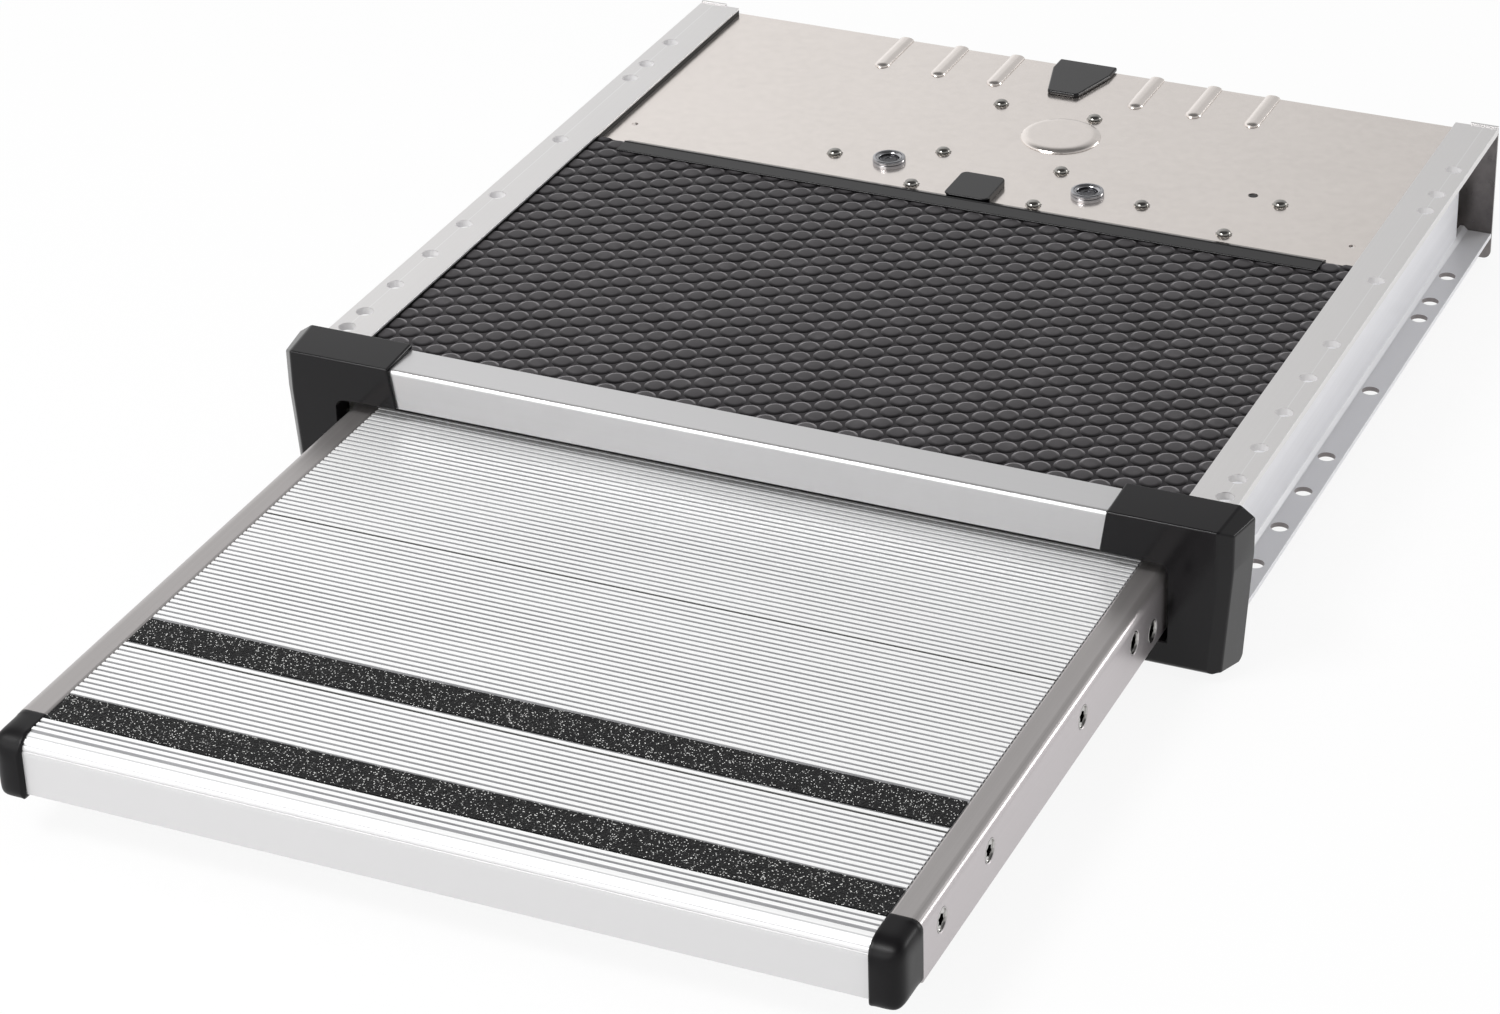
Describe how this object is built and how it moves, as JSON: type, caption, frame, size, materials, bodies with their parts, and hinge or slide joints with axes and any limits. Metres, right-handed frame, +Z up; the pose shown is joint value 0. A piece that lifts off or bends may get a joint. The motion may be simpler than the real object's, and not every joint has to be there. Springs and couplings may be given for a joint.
{
  "type": "caravan pull out step",
  "caption": "Pull-out entrance step for a caravan: a ribbed aluminium tread with grit strips slides on rails out of a flat cassette that bolts under the vehicle floor.",
  "frame": {"origin": "on the floor face (the rails' top), midway between the four outermost floor bolts", "axes": "+X to the right, +Y to the back, towards the cassette's rear wall, +Z up; the step slides out towards -Y"},
  "size_m": [0.501, 0.7926, 0.0845],
  "materials": {
    "rail_aluminium": "mill finish extrusion",
    "plate_steel": "galvanised sheet steel",
    "rubber": "matt",
    "black_plastic": "satin, moulded",
    "tread_aluminium": "bright anodised",
    "tube_aluminium": "satin anodised",
    "grit": "coarse grit",
    "nylon": "natural nylon",
    "link_steel": "zinc plated",
    "pin_steel": "stainless"
  },
  "bodies": {
    "cassette": {"rail_left": "rail_aluminium", "rail_right": "rail_aluminium", "top_plate": "plate_steel", "rear_wall": "plate_steel", "cover_mat": "rubber", "mat_strip": "black_plastic", "front_clip": "black_plastic", "rear_clip": "black_plastic", "front_beam": "tread_aluminium", "beam_wiper": "rubber", "end_cap_left": "black_plastic", "end_cap_right": "black_plastic", "plate_screws": "pin_steel", "pivot_bush_left": "plate_steel", "pivot_bush_right": "plate_steel", "pivot_housing_left": "link_steel", "pivot_housing_right": "link_steel", "rear_nut_plate": "link_steel", "side_nut_plate": "link_steel", "front_pad_left": "nylon", "front_pad_right": "nylon", "rear_buffers": "rubber"},
    "step": {"step_tube_left": "tube_aluminium", "step_tube_right": "tube_aluminium", "nosing_plank": "tread_aluminium", "front_plank": "tread_aluminium", "middle_plank": "tread_aluminium", "rear_plank": "tread_aluminium", "grit_strip_front": "grit", "grit_strip_rear": "grit", "corner_cap_left": "black_plastic", "corner_cap_right": "black_plastic", "tube_screws_left": "pin_steel", "tube_screws_right": "pin_steel", "cross_bar": "tube_aluminium", "glide_shoe_left": "nylon", "glide_shoe_right": "nylon"},
    "upper_arm_left": {"upper_arm_left": "link_steel", "elbow_pin_left": "pin_steel"},
    "upper_arm_right": {"upper_arm_right": "link_steel", "elbow_pin_right": "pin_steel"},
    "forearm_left": {"forearm_left": "link_steel", "step_pin_left": "pin_steel"},
    "forearm_right": {"forearm_right": "link_steel", "step_pin_right": "pin_steel"}
  },
  "joints": [
    {"name": "step_slide", "type": "slide", "parent": "cassette", "child": "step", "axis": [0, 1, 0], "range_m": [0, 0.285]},
    {"name": "upper_arm_left_pivot", "type": "hinge", "parent": "cassette", "child": "upper_arm_left", "pos_m": [-0.057, 0.096, -0.0108], "axis": [0, 0, 1], "range_deg": [-61.37, 0]},
    {"name": "elbow_left_pivot", "type": "hinge", "parent": "upper_arm_left", "child": "forearm_left", "pos_m": [-0.17384, 0.01887, -0.0169], "axis": [0, 0, 1], "range_deg": [0, 122.63]},
    {"name": "upper_arm_right_pivot", "type": "hinge", "parent": "cassette", "child": "upper_arm_right", "pos_m": [0.057, 0.096, -0.0108], "axis": [0, 0, 1], "range_deg": [0, 61.37]},
    {"name": "elbow_right_pivot", "type": "hinge", "parent": "upper_arm_right", "child": "forearm_right", "pos_m": [0.17384, 0.01887, -0.0169], "axis": [0, 0, 1], "range_deg": [-122.63, 0]}
  ],
  "couplings": [
    {"joint": "upper_arm_left_pivot", "follows": "step_slide", "rad_per_m": -3.7519},
    {"joint": "elbow_left_pivot", "follows": "step_slide", "rad_per_m": 7.5038},
    {"joint": "upper_arm_right_pivot", "follows": "step_slide", "rad_per_m": 3.7519},
    {"joint": "elbow_right_pivot", "follows": "step_slide", "rad_per_m": -7.5038}
  ]
}
